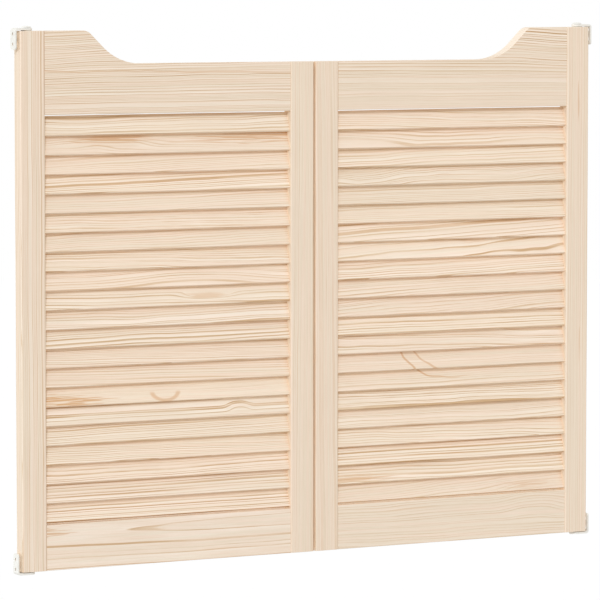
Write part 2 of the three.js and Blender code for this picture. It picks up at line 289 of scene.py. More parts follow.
# End grain: how far a cut runs across the grain, and what that leaves of the figure
SLANT_CUT = (0.1, 0.5)
SQUARE_CUT = (0.8, 1.0)
END_GRAIN = srgb(214, 182, 146)
END_GRAIN_SHARE = 0.45
LONG_DEPTH = 0.35
END_DEPTH = 0.12
END_FIGURE = 0.2

# Painted light and shade in narrow gaps, found by ambient occlusion: a warm painted bounce light in the gaps
# and painted shade under the slats' laps, with the reach in metres
PAINTED_GAP_BOUNCE = (1.15, 1.1, 1.0, 1.0)
PAINTED_LAP_SHADE = (0.91, 0.805, 0.69, 1.0)
PAINTED_GAP_REACH = 0.008
PAINTED_GAP_RAYS = 4

# Gloss and relief of the planed surface
PINE_ROUGH = 0.56
FIBRE_ROUGH = 0.14
RING_ROUGH = -0.06
RING_RELIEF = 0.5
FIBRE_RELIEF = 0.8
PINE_RELIEF = (0.25, 0.00012)
PINE_SPECULAR = 0.3


def knot_loop(tree, distance, along, across, wobble, loop_width):
    """The lower half of a thin loop round a knot, as a number below 0. A negative width draws a quarter."""
    wavy = off_mean(tree, wobble, LOOP_WOBBLE, distance)
    off_loop = maths(tree, "ABSOLUTE", maths(tree, "SUBTRACT", wavy, LOOP_PLACE))
    off_loop = maths(tree, "DIVIDE", off_loop, maths(tree, "ABSOLUTE", loop_width))
    loop = mapped(tree, off_loop, *LOOP_EDGE, 1.0, 0.0, "SMOOTHSTEP")
    lower = mapped(tree, across, *LOOP_LOWER_EDGE, -1.0, 0.0, "SMOOTHSTEP")
    quarter = mapped(tree, along, *LOOP_QUARTER_EDGE, 0.0, 1.0, "SMOOTHSTEP")
    quarter = maths(tree, "MAXIMUM", quarter, maths(tree, "GREATER_THAN", loop_width, 0.0))
    return maths(tree, "MULTIPLY", maths(tree, "MULTIPLY", loop, lower), quarter)


def knot(tree, name, streak, wobble, darkness, loop_width):
    """How far a knot pushes the rings aside, and how brown it is: its heart or, where the darkness is
    negative, its loop. The mesh carries the place from the knot in knot sizes, and the push."""
    along, across, push = carried_three(tree, name)
    flat = node(tree, "CombineXYZ", {0: along, 1: across}).outputs[0]
    distance = node(tree, "VectorMath", {0: flat}, operation="LENGTH").outputs["Value"]
    swell = maths(tree, "MULTIPLY", mapped(tree, distance, 0.0, 1.0, 1.0, 0.0, "SMOOTHERSTEP"), push)
    heart = mapped(tree, off_mean(tree, streak, HEART_TEAR, distance), *HEART_EDGE, 1.0, 0.0, "SMOOTHSTEP")
    heart = maths(tree, "MULTIPLY", heart, darkness)
    loop = knot_loop(tree, distance, along, across, wobble, loop_width)
    return swell, maths(tree, "MAXIMUM", heart, maths(tree, "MULTIPLY", loop, darkness))


def growth_rings(tree, grain, wobble, swell, ring_width):
    """Darkness of the season's wood and number of the year, by the distance from the pith. The distance is
    waved along the log and swollen round knots, and the years drift in width."""
    across_log = node(tree, "VectorMath", {0: grain, 1: (0, 1, 1)}, operation="MULTIPLY").outputs[0]
    radius = node(tree, "VectorMath", {0: across_log}, operation="LENGTH").outputs["Value"]
    wave = stretched_noise(tree, grain, WAVE_SIZE, 1.0)
    wave = maths(tree, "MULTIPLY_ADD", wave, WAVE_DEPTH, maths(tree, "MULTIPLY", wobble, WOBBLE_DEPTH))
    radius = maths(tree, "MULTIPLY_ADD", wave, carried(tree, "wave"), radius)
    radius = maths(tree, "ADD", radius, swell)
    phase = maths(tree, "DIVIDE", radius, ring_width)
    inputs = {"W": radius, "Scale": DRIFT_SCALE, "Detail": 1.0}
    drift = node(tree, "TexNoise", inputs, noise_dimensions="1D").outputs[0]
    phase = maths(tree, "MULTIPLY_ADD", drift, DRIFT_YEARS, phase)
    return ramp(tree, maths(tree, "FRACT", phase), SEASON, "LINEAR"), maths(tree, "FLOOR", phase)


def ring_strength(tree, grain, year, contrast):
    """How clearly the rings show, by the year and from place to place."""
    strength = node(tree, "TexWhiteNoise", {"W": year}, noise_dimensions="1D").outputs["Value"]
    strength = ramp(tree, strength, YEAR_STRENGTH)
    fade = ramp(tree, stretched_noise(tree, grain, FADE_SIZE, 1.0), FADE_STRENGTH)
    return maths(tree, "MULTIPLY", maths(tree, "MULTIPLY", strength, fade), contrast)


def wood_colour(tree, grain, depth):
    """Colour of the wood by its depth, with the cast of the bands and of the board."""
    colour = ramp(tree, depth, WOOD, "LINEAR")
    band = stretched_noise(tree, grain, BAND_SIZE, 2.0, FINE_ROUGHNESS)
    cast = ramp(tree, maths(tree, "ADD", band, carried(tree, "tint")), CASTS)
    return mix_colour(tree, 1.0, colour, cast, "MULTIPLY")


def with_painted_gap_light(tree, colour):
    """Colour with painted light and shade in narrow gaps. Where wood would light wood, a warm painted bounce
    light brightens it. Under the laps of the slats it is darkened as painted shade."""
    # Ambient occlusion masks where the painted light and shade go
    gap = node(tree, "AmbientOcclusion", {"Distance": PAINTED_GAP_REACH}, samples=PAINTED_GAP_RAYS)
    painted_share = maths(tree, "SUBTRACT", 1.0, gap.outputs["AO"])
    cast = mix_colour(tree, carried(tree, "lapped"), PAINTED_GAP_BOUNCE, PAINTED_LAP_SHADE)
    return mix_colour(tree, painted_share, colour, cast, "MULTIPLY")


def pine():
    """Bare pine, solid through each board. Its vertices carry where they lie in the log it comes from."""
    material, tree, output = new_material("bare_pine")
    grain = carried(tree, "grain", "Vector")
    tone, ring_width, contrast = carried_three(tree, "board")
    dark_a, dark_b, loop_width = carried_three(tree, "knot_dark")
    wobble = stretched_noise(tree, grain, WOBBLE_SIZE, 1.0)
    streak = stretched_noise(tree, grain, STREAK_SIZE, 1.0, FINE_ROUGHNESS)
    fibre = stretched_noise(tree, grain, FIBRE_SIZE, 2.0, FINE_ROUGHNESS)
    swell_a, brown_a = knot(tree, "knot_a", streak, wobble, dark_a, loop_width)
    swell_b, brown_b = knot(tree, "knot_b", streak, wobble, dark_b, loop_width)
    line, year = growth_rings(tree, grain, wobble, maths(tree, "ADD", swell_a, swell_b), ring_width)
    strength = ring_strength(tree, grain, year, contrast)
    # Streaks and fibres that run with the grain add to the rings
    depth = maths(tree, "MULTIPLY", maths(tree, "SUBTRACT", line, SEASON_MEAN), strength)
    depth = off_mean(tree, streak, maths(tree, "MULTIPLY", contrast, STREAK_DEPTH), depth)
    depth = off_mean(tree, fibre, FIBRE_DEPTH, depth)
    # A cut across the grain hides most of the figure
    end_cut = carried(tree, "end_cut")
    kept = mapped(tree, end_cut, *SLANT_CUT, 1.0, END_FIGURE)
    mean = mapped(tree, end_cut, *SLANT_CUT, LONG_DEPTH, END_DEPTH)
    depth = maths(tree, "MULTIPLY_ADD", depth, kept, mean)
    colour = wood_colour(tree, grain, depth)
    colour = mix_colour(tree, maths(tree, "MAXIMUM", brown_a, brown_b), colour, KNOT_BROWN)
    colour = mix_colour(tree, mapped(tree, end_cut, *SQUARE_CUT, 0.0, END_GRAIN_SHARE), colour, END_GRAIN)
    cloud = stretched_noise(tree, grain, CLOUD_SIZE, 2.0)
    value = maths(tree, "MULTIPLY_ADD", cloud, CLOUD_DEPTH, maths(tree, "SUBTRACT", tone, CLOUD_DEPTH / 2))
    colour = node(tree, "HueSaturation", {"Value": value, "Color": colour}).outputs[0]
    # Painted bounce light and painted shade in the narrow gaps
    colour = with_painted_gap_light(tree, colour)
    rough = maths(tree, "MULTIPLY_ADD", fibre, FIBRE_ROUGH, PINE_ROUGH)
    rough = maths(tree, "MULTIPLY_ADD", strength, RING_ROUGH, rough)
    height = maths(tree, "MULTIPLY_ADD", line, RING_RELIEF, maths(tree, "MULTIPLY", fibre, FIBRE_RELIEF))
    height = maths(tree, "MULTIPLY", height, kept)
    finish(tree, output, colour, rough, height, PINE_RELIEF, {"Specular IOR Level": PINE_SPECULAR})
    return material


# Other finishes, with the sizes of their figure in metres
MOTTLE_RANGE = (0.3, 0.7)
STEEL_DARK = srgb(196, 197, 197)
STEEL_LIGHT = srgb(216, 216, 214)
STEEL_BRUSHING = (0.00025, 0.012, 0.00025)
STEEL_PATCHES = (0.009, 0.009, 0.009)
STEEL_ROUGH = 0.26
STEEL_BRUSHING_ROUGH = 0.18
STEEL_PATCHES_ROUGH = 0.08
STEEL_RELIEF = (0.2, 0.00003)
NYLON_DARK = srgb(228, 222, 206)
NYLON_LIGHT = srgb(240, 236, 224)
NYLON_MOTTLE = (0.002, 0.002, 0.002)
NYLON_ROUGH = 0.4
NYLON_MOTTLE_ROUGH = 0.15
NYLON_RELIEF = (0.15, 0.00005)
ENAMEL_DARK = srgb(236, 235, 231)
ENAMEL_LIGHT = srgb(241, 240, 236)
ENAMEL_PEEL = (0.0007, 0.0007, 0.0007)
ENAMEL_PATCHES = (0.008, 0.008, 0.008)
ENAMEL_ROUGH = 0.34
ENAMEL_PEEL_ROUGH = 0.12
ENAMEL_RELIEF = (0.15, 0.00004)


def mottled(tree, noise, dark, light):
    """Colour that follows a noise from dark to light."""
    return ramp(tree, noise, list(zip(MOTTLE_RANGE, (dark, light))))


def steel():
    """Satin stainless steel, brushed through the thickness of the door."""
    material, tree, output = new_material("satin_steel")
    place = node(tree, "TexCoord").outputs["Object"]
    brushed = stretched_noise(tree, place, STEEL_BRUSHING, 3.0, FINE_ROUGHNESS)
    patches = stretched_noise(tree, place, STEEL_PATCHES)
    rough = maths(tree, "MULTIPLY_ADD", brushed, STEEL_BRUSHING_ROUGH, STEEL_ROUGH)
    rough = maths(tree, "MULTIPLY_ADD", patches, STEEL_PATCHES_ROUGH, rough)
    colour = mottled(tree, patches, STEEL_DARK, STEEL_LIGHT)
    finish(tree, output, colour, rough, brushed, STEEL_RELIEF, {"Metallic": 1.0})
    return material


def nylon():
    """Natural white nylon with a faint moulded mottle."""
    material, tree, output = new_material("natural_nylon")
    place = node(tree, "TexCoord").outputs["Object"]
    mottle = stretched_noise(tree, place, NYLON_MOTTLE, 3.0)
    rough = maths(tree, "MULTIPLY_ADD", mottle, NYLON_MOTTLE_ROUGH, NYLON_ROUGH)
    colour = mottled(tree, mottle, NYLON_DARK, NYLON_LIGHT)
    finish(tree, output, colour, rough, mottle, NYLON_RELIEF)
    return material


def enamel():
    """Satin white enamel, a little uneven as sprayed paint is."""
    material, tree, output = new_material("white_enamel")
    place = node(tree, "TexCoord").outputs["Object"]
    peel = stretched_noise(tree, place, ENAMEL_PEEL)
    patches = stretched_noise(tree, place, ENAMEL_PATCHES)
    rough = maths(tree, "MULTIPLY_ADD", peel, ENAMEL_PEEL_ROUGH, ENAMEL_ROUGH)
    colour = mottled(tree, patches, ENAMEL_DARK, ENAMEL_LIGHT)
    finish(tree, output, colour, rough, peel, ENAMEL_RELIEF)
    return material


PINE = pine()
STEEL = steel()
NYLON = nylon()
ENAMEL = enamel()


# Mesh helpers, in millimetres in the frame of one leaf

def arc(x, y, radius, start, end, steps):
    """Points on an arc, from one angle to another in degrees."""
    angles = [math.radians(start + (end - start) * k / steps) for k in range(steps + 1)]
    return [(x + radius * math.cos(a), y + radius * math.sin(a)) for a in angles]


def rounded_section(x0, x1, y0, y1, r0, r1, inset=0.0, steps=ARRIS_STEPS):
    """Rectangle with arrises of radius r0 at x0 and r1 at x1, drawn in by an inset."""
    return (arc(x0 + r0, y0 + r0, r0 - inset, 180, 270, steps)
            + arc(x1 - r1, y0 + r1, r1 - inset, 270, 360, steps)
            + arc(x1 - r1, y1 - r1, r1 - inset, 0, 90, steps)
            + arc(x0 + r0, y1 - r0, r0 - inset, 90, 180, steps))


def loft(bm, loops, capped=True):
    """Skin over a row of loops that have the same number of points."""
    rings = [[bm.verts.new(point) for point in loop] for loop in loops]
    for low, high in zip(rings, rings[1:]):
        for i, corner in enumerate(low):
            j = (i + 1) % len(low)
            bm.faces.new((corner, low[j], high[j], high[i]))
    if capped:
        bm.faces.new(rings[0][::-1])
        bm.faces.new(rings[-1])
    return rings


def filleted(points, size):
    """Profile with the corners between its first and last points rounded off."""
    done = [points[0]]
    for before, corner, after in zip(points, points[1:], points[2:]):
        corner = Vector(corner)
        start = corner + (Vector(before) - corner).normalized() * size
        end = corner + (Vector(after) - corner).normalized() * size
        for k in range(EASE_STEPS + 1):
            t = k / EASE_STEPS
            done.append(tuple(start * (1 - t) ** 2 + corner * 2 * t * (1 - t) + end * t ** 2))
    return done + [points[-1]]


def turned(bm, profile, place=Matrix.Translation((PIVOT_INSET, 0, 0))):
    """Skin of a profile of radius and height, turned about an axis, the pivot's if no other is given.
    The profile starts and ends on the axis, or closes on itself."""
    rings = []
    for radius, height in profile:
        angles = [2 * math.pi * k / ROUND_SIDES for k in range(ROUND_SIDES if radius else 1)]
        points = [place @ Vector((radius * math.cos(a), radius * math.sin(a), height)) for a in angles]
        closing = rings and (radius, height) == profile[0]
        rings.append(rings[0] if closing else [bm.verts.new(point) for point in points])
    for low, high in zip(rings, rings[1:]):
        for i in range(ROUND_SIDES):
            j = (i + 1) % ROUND_SIDES
            corners = low[i % len(low)], low[j % len(low)], high[j % len(high)], high[i % len(high)]
            bm.faces.new(list(dict.fromkeys(corners)))


def easing(size):
    """Pairs of depth and inset down a quarter-round of that size."""
    angles = [math.pi / 2 * k / EASE_STEPS for k in range(EASE_STEPS + 1)]
    return [(size * (1 - math.cos(a)), size * (1 - math.sin(a))) for a in angles]


def eased_ends(start, end, size):
    """Pairs of position and inset along a bar whose two ends are eased."""
    near = [(start + depth, inset) for depth, inset in easing(size)]
    far = [(end - depth, inset) for depth, inset in easing(size)]
    return near + far[::-1]


def to_mesh(name, bm):
    bmesh.ops.recalc_face_normals(bm, faces=bm.faces)
    mesh = bpy.data.meshes.new(name)
    bm.to_mesh(mesh)
    bm.free()
    return mesh


def to_object(name, data):
    made = bpy.data.objects.new(name, data)
    bpy.context.scene.collection.objects.link(made)
    return made


def cut(mesh, cutter, operation="DIFFERENCE"):
    """The mesh after a boolean with another one."""
    target = to_object("cut_target", mesh)
    tool = to_object("cut_tool", cutter)
    modifier = target.modifiers.new("cut", "BOOLEAN")
    modifier.object = tool
    modifier.operation = operation
    modifier.solver = "EXACT"
    done = bpy.data.meshes.new_from_object(target.evaluated_get(bpy.context.evaluated_depsgraph_get()))
    bpy.data.objects.remove(target)
    bpy.data.objects.remove(tool)
    return done


def place_in_pair(mesh, side):
    """Moves a mesh from the frame of one leaf into the shared frame, mirrored on the right-hand side."""
    sign = SIDES[side]
    move = Matrix.Translation((-hinge_edge, 0, leaf_foot))
    mesh.transform(Matrix.Diagonal((sign * MM, MM, MM, 1)) @ move)
    if sign < 0:
        mesh.flip_normals()


def show(piece, node_name, body, material):
    """Gives a piece its finish and its body, in place of the CAD node."""
    mesh = piece.data
    mesh.materials.clear()
    mesh.materials.append(material)
    mesh.shade_smooth()
    mesh.set_sharp_from_angle(angle=math.radians(SMOOTH_ANGLE))
    normals = piece.modifiers.new("flat_faces", "WEIGHTED_NORMAL")
    normals.weight = FLAT_WEIGHT
    normals.keep_sharp = True
    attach(piece, body)
    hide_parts(node_name)


# Boards

# Seeds of what is drawn by chance: the leaf's own, what a frame board adds to it, and the slats' boards
LEAF_SEEDS = {"left": 101, "right": 211}
BOARD_SEEDS = {"hinge_stile": 11, "meeting_stile": 13, "top_rail": 248, "bottom_rail": 341}
SLAT_SEEDS = {"left": 712, "right": 1482}
SLAT_SEED_STEP = 13

# Where along the log a board starts: a step by its seed, and a part by chance
SHIFT_SPREAD = 1000.0
SHIFT_STEP = 700.0
SHIFT_COUNT = 97

# Ranges that boards are drawn from: the pith's place across the board and behind it, the lean of the log,
# the width of its rings and the rest. A slat is sawn in one of two ways
STILE_PITH = ((70, 120), (-60, 60))
STILE_WAVE = 0.4
STILE_LOG = {"lean": ((-0.006, 0.006), (-0.01, 0.01)), "ring": (2.4, 3.4), "tint": (-0.08, 0.08)}
RAIL_LOG = {
    "pith": ((-90, -50), (40, 70)), "lean": ((-0.02, 0.02), (-0.03, 0.03)),
    "ring": (3.4, 4.8), "tint": (-0.08, 0.08)}
QUARTER_SAWN_SHARE = 0.55
QUARTER_SAWN_PITH = ((45, 110), (-30, 30))
RIFT_SAWN_PITH = ((24, 45), (20, 50))
SLAT_LOG = {
    "lean": ((-0.03, 0.03), (-0.04, 0.04)), "ring": (2.4, 4.4), "tone": (1.0, 1.045),
    "contrast": (0.65, 1.2), "wave": (0.5, 1.3), "tint": (-0.12, 0.09)}
# How much lighter the slats' arrises are: a painted highlight, as of light caught on the edges
SLAT_PAINTED_HIGHLIGHT = 1.12
# Height of the middle of the board that the top rail is cut from
TOP_BOARD_CENTRE = 680
# A vertex lies on an arris, and takes a slat's painted highlight, when its normal leans at least this far
# both ways
ARRIS_LEAN = 0.25

# A knot's place along and across its board, length, width, push on the rings, and darkness
NO_KNOT = (1e4, 1e4, 1.0, 1.0, 0.0, 0.0)
KNOTS = ("knot_a", "knot_b")

# Boards whose figure stands out. The others are drawn by chance
FIGURED = {
    "left_hinge_stile": {"ring": 2.4, "contrast": 0.75, "tint": 0.04},
    "left_meeting_stile": {"contrast": 0.32},
    "right_meeting_stile": {"contrast": 0.32},
    "right_hinge_stile": {"contrast": 0.38, "knots": [(262, -2, 70, 4, 0, 0.4), (-88, -4, 70, 4, 0, 0.3)]},
    "left_top_rail": {
        "pith": (-150, 50), "lean": (0.004, 0), "ring": 2.7, "contrast": 1.05, "wave": 0.7,
        "loop_width": 0.03, "knots": [(-215, 45, 150, 75, 5, 0), (250, 39, 935, 40, 0, -0.4)]},
    "right_top_rail": {
        "pith": (-120, 60), "lean": (0.008, 0), "ring": 3.2, "contrast": 0.75, "grade": 0.014, "wave": 0.5,
        "knots": [(-215, 40, 160, 65, 6, 0)]},
    "left_bottom_rail": {
        "pith": (18, 18.2), "lean": (0, -0.0254), "ring": 9.0, "contrast": 0.9, "wave": 0.4,
        "knots": [(-190, 21, 80, 15, 2, 0.6)]},
    "right_bottom_rail": {
        "pith": (-60, 40), "lean": (0.02, 0.02), "ring": 4.0, "contrast": 0.5, "wave": 0.8,
        "knots": [(-140, 18, 90, 40, -9, 0)]},
    "left_slat_02": {
        "contrast": 0.6, "wave": 1.2,
        "knots": [(-90, 7, 150, 22, 8, 0.6), (150, 9, 260, 26, 2, 0.6)]},
    "left_slat_09": {
        "pith": (-60, 20), "ring": 4.5, "contrast": 0.9, "wave": 0.3,
        "knots": [(45, 0, 190, 40, -9, 0)]},
    "left_slat_10": {"ring": 5.0, "contrast": 1.0, "wave": 0.9, "knots": [(60, -2, 70, 12, 9, 0.35)]},
    "left_slat_15": {
        "contrast": 0.35, "loop_width": 0.2,
        "knots": [(-165, -7, 180, 20, 2, 0.75), (-5, -1, 27, 16.7, 0, -0.5)]},
    "left_slat_16": {
        "pith": (-72.5, 0), "lean": (0.004, 0), "ring": 20, "contrast": 2.3, "wave": 0.4,
        "knots": [(112, 4, 32, 26, -6, 0)]},
    "left_slat_17": {"pith": (-90, 8), "lean": (0.012, 0), "ring": 2.9, "contrast": 1.1, "wave": 0.5},
    "left_slat_20": {"pith": (90, 5), "lean": (0.004, 0), "ring": 4.6, "contrast": 1.5, "wave": 0.3},
    "left_slat_21": {"pith": (92, 5), "lean": (0, 0), "ring": 3.8, "contrast": 1.5, "wave": 0.3},
    "right_slat_04": {"ring": 2.6, "contrast": 0.9, "wave": 2.2},
    "right_slat_07": {"ring": 6.0, "lean": (-0.045, 0.0), "contrast": 0.9, "wave": 0.6},
    "right_slat_08": {
        "ring": 9.0, "lean": (-0.06, 0.0), "contrast": 1.0,
        "knots": [(-40, 10, 60, 10, 3, 0.3)]},
    "right_slat_14": {
        "contrast": 0.5, "loop_width": -0.022,
        "knots": [(-8, 30, 132, 80, 0, -0.6), (-8, 30, 103, 64, 0, -0.5)]},
    "right_slat_15": {"contrast": 0.6, "loop_width": -0.022, "knots": [(-8, 57, 132, 80, 0, -0.6)]},
    "right_slat_19": {"pith": (91, 5), "lean": (0, 0), "ring": 4.4, "contrast": 1.5, "wave": 0.3},
    "right_slat_20": {"ring": 3.6, "contrast": 1.0, "wave": 0.5, "knots": [(165, -8, 130, 14, 3, 0.5)]},
    "right_slat_21": {"contrast": 0.45, "tint": 0.06, "knots": [(-120, -5, 100, 12, 3, 0.3)]},
}


class Board:
    """How a board was sawn from its log, and how its wood looks. The pith, lean, ring and tint are drawn."""

    def __init__(self, seed, centre, along, across):
        self.random = random.Random(seed)
        self.shift = SHIFT_SPREAD * self.random.random() + SHIFT_STEP * (seed % SHIFT_COUNT)
        self.centre = Vector(centre)
        self.along = Vector(along)
        self.across = Vector(across)
        self.deep = self.along.cross(self.across)
        self.tone = 1.0
        self.contrast = 0.8
        self.grade = 0.0
        self.wave = 0.6
        self.knots = []
        self.loop_width = 0.12
        self.painted_edge_highlight = 1.0
        self.lapped = 0.0

    def within(self, limits):
        return self.random.uniform(*limits)

    def either_side(self, limits):
        return self.random.choice((-1, 1)) * self.random.uniform(*limits)

    def draw(self, log):
        """Sets what is drawn by chance: a number for one range, or a pair for two."""
        for key, limits in log.items():
            paired = isinstance(limits[0], tuple)
            setattr(self, key, tuple(map(self.within, limits)) if paired else self.within(limits))

    def figure(self, node_name):
        for key, value in FIGURED.get(node_name, {}).items():
            setattr(self, key, value)

    def write(self, mesh):
        """Stores the wood on the mesh: the place in the log at each vertex, and the cut of each face."""
        rows = {"grain": [], "board": [], "knot_a": [], "knot_b": [], "knot_dark": []}
        knots = (self.knots + [NO_KNOT] * len(KNOTS))[:len(KNOTS)]
        for vertex in mesh.vertices:
            local = vertex.co - self.centre
            s, a, d = local.dot(self.along), local.dot(self.across), local.dot(self.deep)
            off_pith = a - self.pith[0] - self.lean[0] * s, d - self.pith[1] - self.lean[1] * s
            rows["grain"].extend((s + self.shift, *off_pith))
            leans = abs(vertex.normal.dot(self.across)), abs(vertex.normal.dot(self.deep))
            # Slat arrises are lightened in tone as a painted highlight
            tone = self.tone * (self.painted_edge_highlight if min(leans) > ARRIS_LEAN else 1.0)
            rows["board"].extend((tone, self.ring, self.contrast + self.grade * a))
            for name, (place_s, place_a, length, width, push, _) in zip(KNOTS, knots):
                rows[name].extend(((s - place_s) / length, (a - place_a) / width, push))
            rows["knot_dark"].extend((knots[0][-1], knots[1][-1], self.loop_width))
        for name, values in rows.items():
            mesh.attributes.new(name, "FLOAT_VECTOR", "POINT").data.foreach_set("vector", values)
        for name in ("tint", "wave", "lapped"):
            values = [getattr(self, name)] * len(mesh.vertices)
            mesh.attributes.new(name, "FLOAT", "POINT").data.foreach_set("value", values)
        end_cut = [abs(polygon.normal.dot(self.along)) for polygon in mesh.polygons]
        mesh.attributes.new("end_cut", "FLOAT", "FACE").data.foreach_set("value", end_cut)


def add_board(node_name, mesh, board, side):
    board.figure(node_name)
    board.write(mesh)
    place_in_pair(mesh, side)
    show(to_object(f"wood_{node_name}", mesh), node_name, f"{side}_leaf", PINE)


def stile_mesh(name, x0, x1, r0, r1, height):
    bm = bmesh.new()
    loops = []
    for z, inset in eased_ends(0, height, END_EASE):
        section = rounded_section(x0, x1, -half_thickness, half_thickness, r0, r1, inset)
        loops.append([(x, y, z) for x, y in section])
    loft(bm, loops)
    return to_mesh(name, bm)


def slat_height(i):
    return top_rail_foot - TOP_SLIT - slat_rise / 2 - i * slat_pitch


def slat_loop(i, x, inset=0.0, tilt=0.0, lift=0.0):
    """Section of slat number i, counted from the top, at one place along it. A negative inset grows it."""
    w, t = slat_width / 2, SLAT_THICKNESS / 2
    angle = SLAT_TILT + tilt
    flat = rounded_section(-t, t, -w, w, SLAT_ARRIS, SLAT_ARRIS, steps=SLAT_ARRIS_STEPS)
    if inset:
        flat = [(y - math.copysign(inset, y), v - math.copysign(inset, v)) for y, v in flat]
    sine, cosine = math.sin(angle), math.cos(angle)
    z = slat_height(i) + lift
    return [(x, y * cosine + v * sine, z - y * sine + v * cosine) for y, v in flat]


def pivot_bore(bm, end, way, length):
    """Hole for a pivot in one end of the hinge stile, with a recess for its flange."""
    flange, socket = FLANGE_RADIUS + FIT_GAP, SOCKET_RADIUS + FIT_GAP
    recess = FLANGE_THICKNESS - FLANGE_PROUD + FIT_GAP
    depth = length - FLANGE_PROUD + FIT_GAP
    profile = [
        (0, -CUT_MARGIN), (flange, -CUT_MARGIN), (flange, recess),
        (socket, recess), (socket, depth), (0, depth)]
    turned(bm, [(radius, end + way * height) for radius, height in profile])


def stile_cutter(part):
    """What is cut from a stile: the slats' housings, and the hinge stile's pivot bores."""
    bm = bmesh.new()
    if part == "hinge_stile":
        ends = (bay_start - SLAT_HOUSING, bay_start + CUT_MARGIN)
    else:
        ends = (bay_end - CUT_MARGIN, bay_end + SLAT_HOUSING)
    for i in range(SLAT_COUNT):
        loft(bm, [slat_loop(i, x, -HOUSING_GAP) for x in ends])
    if part == "hinge_stile":
        pivot_bore(bm, 0, 1, CARTRIDGE_LENGTH)
        pivot_bore(bm, LEAF_HEIGHT, -1, BUSH_LENGTH)
    return to_mesh("stile_cutter", bm)


def slat_mesh(name, i, rng):
    """A slat with a little twist and bow, so that no two lie quite alike."""
    bm = bmesh.new()
    x0, x1 = slat_start, LEAF_WIDTH - slat_start
    twist = [math.radians(rng.uniform(-SLAT_TWIST, SLAT_TWIST)) for _ in range(3)]
    bow = rng.uniform(-SLAT_BOW, SLAT_BOW)
    stations = eased_ends(x0, x1, SLAT_END_EASE)
    middle = len(stations) // 2
    inner = [(x0 + (x1 - x0) * k / SLAT_STATIONS, 0.0) for k in range(1, SLAT_STATIONS)]
    loops = []
    for x, inset in stations[:middle] + inner + stations[middle:]:
        t = (x - x0) / (x1 - x0)
        freedom = math.sin(math.pi * t)
        turn = twist[0] * (1 - t) + twist[1] * t + twist[2] * freedom
        loops.append(slat_loop(i, x, inset, turn * freedom, bow * freedom))
    loft(bm, loops)
    return to_mesh(name, bm)


def top_edge():
    """The S-curve, from its crest to the level run at the meeting stile."""
    arcs = CREST_RADIUS + HOLLOW_RADIUS
    slope = math.acos((arcs - TOP_DROP) / math.hypot(arcs, SLOPE_LENGTH)) - math.atan2(SLOPE_LENGTH, arcs)
    hollow_x = CREST_START + arcs * math.sin(slope) + SLOPE_LENGTH * math.cos(slope)
    lean = math.degrees(slope)
    crest = arc(CREST_START, LEAF_HEIGHT - CREST_RADIUS, CREST_RADIUS, 90, 90 - lean, CREST_STEPS)
    hollow = arc(hollow_x, meeting_height + HOLLOW_RADIUS, HOLLOW_RADIUS, -90 - lean, -90, HOLLOW_STEPS)
    return crest + hollow


def rail_mesh(name, foot, top):
    """A rail between the stiles, from its foot and the points of its top edge, from end to end."""
    outline = [(top[0][0], foot), (top[-1][0], foot)] + top[::-1]
    ends = {top[0][0], top[-1][0]}

    def drawn_in(inset):
        points = []
        for i, (x, z) in enumerate(outline):
            if x in ends:
                points.append((x, z + (inset if z == foot else -inset)))
                continue
            before, after = outline[i - 1], outline[(i + 1) % len(outline)]
            run = Vector((after[0] - before[0], after[1] - before[1])).normalized()
            points.append((x - run.y * inset, z + run.x * inset))
        return points

    bm = bmesh.new()
    layers = eased_ends(-half_rail, half_rail, RAIL_ARRIS)
    loft(bm, [[(x, y, z) for x, z in drawn_in(inset)] for y, inset in layers])
    return to_mesh(name, bm)


def build_stiles(side):
    for part, x0, x1, r0, r1, height in (
        ("hinge_stile", 0.0, bay_start, OUTER_ARRIS, INNER_ARRIS, LEAF_HEIGHT),
        ("meeting_stile", bay_end, LEAF_WIDTH, INNER_ARRIS, OUTER_ARRIS, meeting_height),
    ):
        node_name = f"{side}_{part}"
        mesh = stile_mesh(f"wood_{node_name}", x0, x1, r0, r1, height)
        mesh = cut(mesh, stile_cutter(part))
        centre = (x0 + STILE_WIDTH / 2, 0, height / 2)
        board = Board(LEAF_SEEDS[side] + BOARD_SEEDS[part], centre, (0, 0, 1), (1, 0, 0))
        board.pith = (board.either_side(STILE_PITH[0]), board.within(STILE_PITH[1]))
        board.draw(STILE_LOG)
        board.wave = STILE_WAVE
        add_board(node_name, mesh, board, side)


def build_rails(side):
    start, end = bay_start + SHOULDER_GAP, bay_end - SHOULDER_GAP
    curved = [(start, LEAF_HEIGHT)] + top_edge() + [(end, meeting_height)]
    level = [(start, BOTTOM_RAIL_HEIGHT), (end, BOTTOM_RAIL_HEIGHT)]
    for part, foot, top, centre_z in (
        ("top_rail", top_rail_foot, curved, TOP_BOARD_CENTRE),
        ("bottom_rail", 0.0, level, BOTTOM_RAIL_HEIGHT / 2),
    ):
        node_name = f"{side}_{part}"
        mesh = rail_mesh(f"wood_{node_name}", foot, top)
        centre = (bay_middle, 0, centre_z)
        board = Board(LEAF_SEEDS[side] + BOARD_SEEDS[part], centre, (1, 0, 0), (0, 0, 1))
        board.draw(RAIL_LOG)
        add_board(node_name, mesh, board, side)


